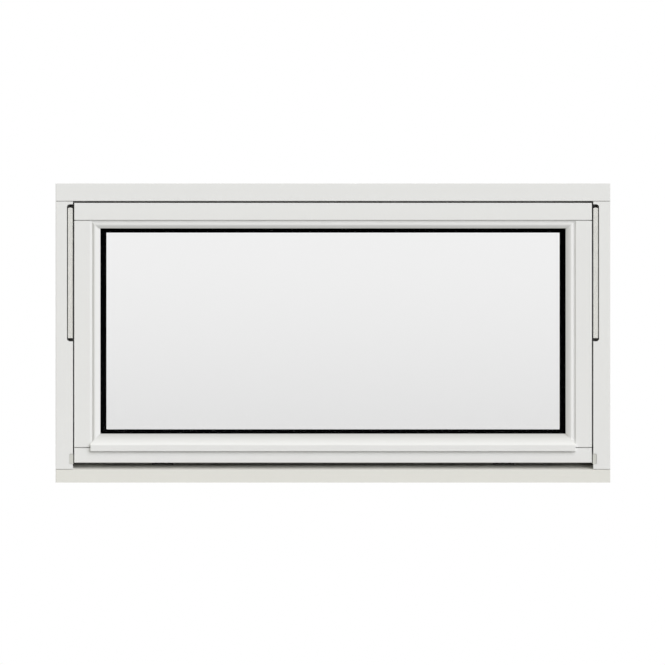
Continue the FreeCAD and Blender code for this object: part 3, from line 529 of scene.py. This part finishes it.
def screw_head(mesh, radius, rise, sides):
    """Adds a domed screw head with a lobed recess, seated on the XY plane, and gives back its vertices."""
    rim = bmesh.ops.create_circle(mesh, segments=sides, radius=radius)["verts"]
    made = list(rim)
    seat = edges_of(rim)
    ring = seat
    for width, height in SCREW_DOME:
        verts, ring = extrude_ring(mesh, ring)
        for vert in verts:
            flat = vert.co.to_2d().normalized() * radius * width
            vert.co = (flat.x, flat.y, rise * height)
        made += verts
    lobes = bmesh.ops.create_circle(mesh, segments=RECESS_SIDES, radius=radius * RECESS_RADIUS)["verts"]
    for vert in lobes:
        angle = math.atan2(vert.co.y, vert.co.x)
        vert.co *= 1.0 - RECESS_WAVE + RECESS_WAVE * math.cos(RECESS_LOBES * angle)
        vert.co.z = rise
    mouth = edges_of(lobes)
    bmesh.ops.bridge_loops(mesh, edges=ring + mouth)
    floor, floor_edges = extrude_ring(mesh, mouth)
    for vert in floor:
        vert.co.z = rise * RECESS_FLOOR
    bmesh.ops.contextual_create(mesh, geom=floor_edges)
    bmesh.ops.contextual_create(mesh, geom=seat)
    return made + lobes + floor


def screw_heads(name, spots, outward, radius):
    """Screw heads that face outward, joined into one piece. Each spot is on the seat."""
    hardware = bpy.context.scene.window_hardware
    turn = Vector(UP).rotation_difference(Vector(outward)).to_matrix().to_4x4()
    mesh = bmesh.new()
    for spot in spots:
        made = screw_head(mesh, radius, radius * hardware.screw_rise, hardware.screw_sides)
        bmesh.ops.transform(mesh, matrix=Matrix.Translation(spot) @ turn, verts=made)
    bmesh.ops.recalc_face_normals(mesh, faces=mesh.faces)
    data = mesh_data(name, mesh)
    data.shade_smooth()
    data.set_sharp_from_angle(angle=SHARP_EDGE)
    return add_object(name, data)


class PaintTimber(bpy.types.Operator):
    """Paints the frame, the sash and the glazing beads"""

    bl_idname = "window.paint_timber"
    bl_label = "Paint the timber"

    def execute(self, context):
        paint = context.scene.window_paint
        # The top bead gets painted shade: its paint is a darker share of the same colour all over.
        shaded_paint = shade(paint.paint, 1.0 - paint.top_bead_shade)
        coat(LEVEL_TIMBER, painted_timber("paint_along_rails", paint.paint, "x"))
        coat(UPRIGHT_TIMBER, painted_timber("paint_along_stiles", paint.paint, "z"))
        coat(["frame_sill"], painted_timber("paint_on_sill", paint.sill, "x"))
        coat(["bead_top"], painted_timber("paint_with_painted_shade", shaded_paint, "x"))
        # The bottom bead's paint carries painted shade beside the glass and a painted highlight above its
        # nose.
        coat(["bead_bottom"], painted_timber("paint_with_painted_shade_and_highlight", paint.paint, "x", "bead_bottom"))
        return {"FINISHED"}


class GlazeSash(bpy.types.Operator):
    """Finishes the panes, the spacer, the edge seal, the tape and the setting blocks"""

    bl_idname = "window.glaze_sash"
    bl_label = "Glaze the sash"

    def execute(self, context):
        glass = context.scene.window_glass
        coat(["glass_outer_pane"], pane_glass("outer_glass", True))
        coat(["glass_inner_pane"], pane_glass("inner_glass", False))
        coat(["glass_spacer", "glass_edge_seal"], spacer_black("black_spacer", glass.spacer))
        coat(["glazing_tape_outer", "glazing_tape_inner"], soft_rubber("glazing_tape", glass.tape))
        coat(["setting_block_left", "setting_block_right"], moulded_plastic("setting_plastic", glass.blocks))
        return {"FINISHED"}


class FitSeals(bpy.types.Operator):
    """Finishes the weather seals on the frame's stops"""

    bl_idname = "window.fit_seals"
    bl_label = "Fit the weather seals"

    def execute(self, context):
        coat(WEATHER_SEALS, soft_rubber("weather_rubber", context.scene.window_hardware.rubber))
        return {"FINISHED"}


class FitHinges(bpy.types.Operator):
    """Finishes the hinge gear and the guide blocks in the jambs"""

    bl_idname = "window.fit_hinges"
    bl_label = "Fit the hinges"

    def execute(self, context):
        hardware = context.scene.window_hardware
        coat(HINGE_ARMS, drawn_metal("anodised_bar", hardware.bar, BAR_LINES, hardware.bar_sheen))
        coat(HINGE_STEEL, black_steel("hinge_steel", hardware.steel))
        coat(PALE_PLASTIC, moulded_plastic("guide_plastic", hardware.plastic))
        return {"FINISHED"}


class FitLock(bpy.types.Operator):
    """Finishes the lock strip and its keeps, and adds the screws of the keeps"""

    bl_idname = "window.fit_lock"
    bl_label = "Fit the lock"

    def execute(self, context):
        hardware = context.scene.window_hardware
        steel = black_steel("lock_steel", hardware.steel)
        coat(LOCK_STEEL, steel)
        spots = []
        for side in SIDES:
            low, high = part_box(f"lock_keep_{side}")
            middle = (low + high) / 2
            for step in (-hardware.keep_screws, hardware.keep_screws):
                spots.append(Vector((middle.x + step, middle.y, high.z)))
        screws = screw_heads("keep_screws", spots, UP, hardware.keep_radius)
        screws.data.materials.append(steel)
        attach(screws, BODY)
        return {"FINISHED"}


class FitHandle(bpy.types.Operator):
    """Finishes the handle and adds the screws of its plate"""

    bl_idname = "window.fit_handle"
    bl_label = "Fit the handle"

    def execute(self, context):
        hardware = context.scene.window_hardware
        metal = drawn_metal("satin_handle", hardware.handle, HANDLE_LINES, hardware.handle_sheen)
        coat(HANDLE, metal)
        low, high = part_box("handle_rose")
        middle = (low + high) / 2
        steps = (-hardware.rose_screws, hardware.rose_screws)
        spots = [Vector((middle.x + step, high.y, middle.z)) for step in steps]
        screws = screw_heads("rose_screws", spots, INTO_ROOM, hardware.screw_radius)
        screws.data.materials.append(metal)
        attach(screws, BODY)
        return {"FINISHED"}


class SetStudio(bpy.types.Operator):
    """Makes the floor, the light and the camera"""

    bl_idname = "window.set_studio"
    bl_label = "Set the studio"

    def execute(self, context):
        studio = context.scene.window_studio
        behind = math.pi + studio.room_turn
        self.lay_floor(studio)
        self.light_sky(studio)
        self.hang_lamp("main_lamp", studio, studio.main_strength, studio.main_turn, studio.main_rise)
        self.hang_lamp("room_lamp", studio, studio.room_strength, behind, studio.room_rise)
        self.place_camera(studio)
        context.scene.view_settings.view_transform = "Standard"
        return {"FINISHED"}

    def lay_floor(self, studio):
        """A pale floor that shows its own colour and throws less light on the window."""
        mesh = bmesh.new()
        bmesh.ops.create_grid(mesh, x_segments=1, y_segments=1, size=studio.floor_size / 2)
        floor = add_object("floor", mesh_data("floor", mesh))
        finish = Finish("pale_floor")
        pale = finish.vary(finish.noise(FLOOR_CLOUD), studio.floor, 0.99, 1.01)
        base = finish.mix(finish.seen(), opaque(studio.bounce), pale)
        surface = finish.surface(Base_Color=base, Roughness=studio.floor_sheen)
        floor.data.materials.append(finish.done(surface))

    def light_sky(self, studio):
        """Light from all round, behind which the camera sees white."""
        finish = Finish("studio_sky", "worlds")
        sky = {"Color": opaque(studio.sky), "Strength": studio.sky_strength}
        light = finish.node("ShaderNodeBackground", None, sky)
        white = finish.node("ShaderNodeBackground", None, {"Color": opaque(WHITE), "Strength": 1.0})
        both = finish.layers(finish.seen(), light, white)
        bpy.context.scene.world = finish.done(both, "ShaderNodeOutputWorld")

    def hang_lamp(self, name, studio, strength, turn, rise):
        """A soft lamp, turned to the right from the viewer's place and raised above level."""
        data = bpy.data.lights.new(name, "SUN")
        data.color = studio.lamp
        data.energy = strength
        data.angle = studio.lamp_spread
        lamp = add_object(name, data)
        level = math.cos(rise)
        towards = Vector((math.sin(turn) * level, -math.cos(turn) * level, math.sin(rise)))
        lamp.location = towards * studio.view_distance
        lamp.rotation_euler = towards.to_track_quat("Z", "Y").to_euler()

    def place_camera(self, studio):
        """A square-on view of the outside, with no perspective."""
        data = bpy.data.cameras.new("elevation")
        data.type = "ORTHO"
        data.ortho_scale = studio.view_width
        camera = add_object("elevation", data)
        camera.location = (studio.view_x, -studio.view_distance, studio.view_z)
        camera.rotation_euler = (math.radians(90), 0.0, 0.0)
        bpy.context.scene.camera = camera


GROUPS = {
    "window_paint": PaintSettings,
    "window_glass": GlassSettings,
    "window_hardware": HardwareSettings,
    "window_studio": StudioSettings,
}
STEPS = (PaintTimber, GlazeSash, FitSeals, FitHinges, FitLock, FitHandle, SetStudio)


class WindowPanel(bpy.types.Panel):
    """Lists the steps that finish the window"""

    bl_idname = "VIEW3D_PT_awning_window"
    bl_label = "Awning window"
    bl_space_type = "VIEW_3D"
    bl_region_type = "UI"
    bl_category = "Window"

    def draw(self, context):
        layout = self.layout
        for step in STEPS:
            layout.operator(step.bl_idname)
        for name, group in GROUPS.items():
            box = layout.box()
            box.label(text=group.__doc__)
            settings = getattr(context.scene, name)
            for key in group.__annotations__:
                box.prop(settings, key)


def register():
    for group in (*GROUPS.values(), *STEPS, WindowPanel):
        bpy.utils.register_class(group)
    for name, group in GROUPS.items():
        setattr(bpy.types.Scene, name, PointerProperty(type=group))


def unregister():
    for name in GROUPS:
        delattr(bpy.types.Scene, name)
    for group in reversed((*GROUPS.values(), *STEPS, WindowPanel)):
        bpy.utils.unregister_class(group)


def main():
    register()
    for step in STEPS:
        family, name = step.bl_idname.split(".")
        getattr(getattr(bpy.ops, family), name)()


if __name__ == "__main__":
    main()
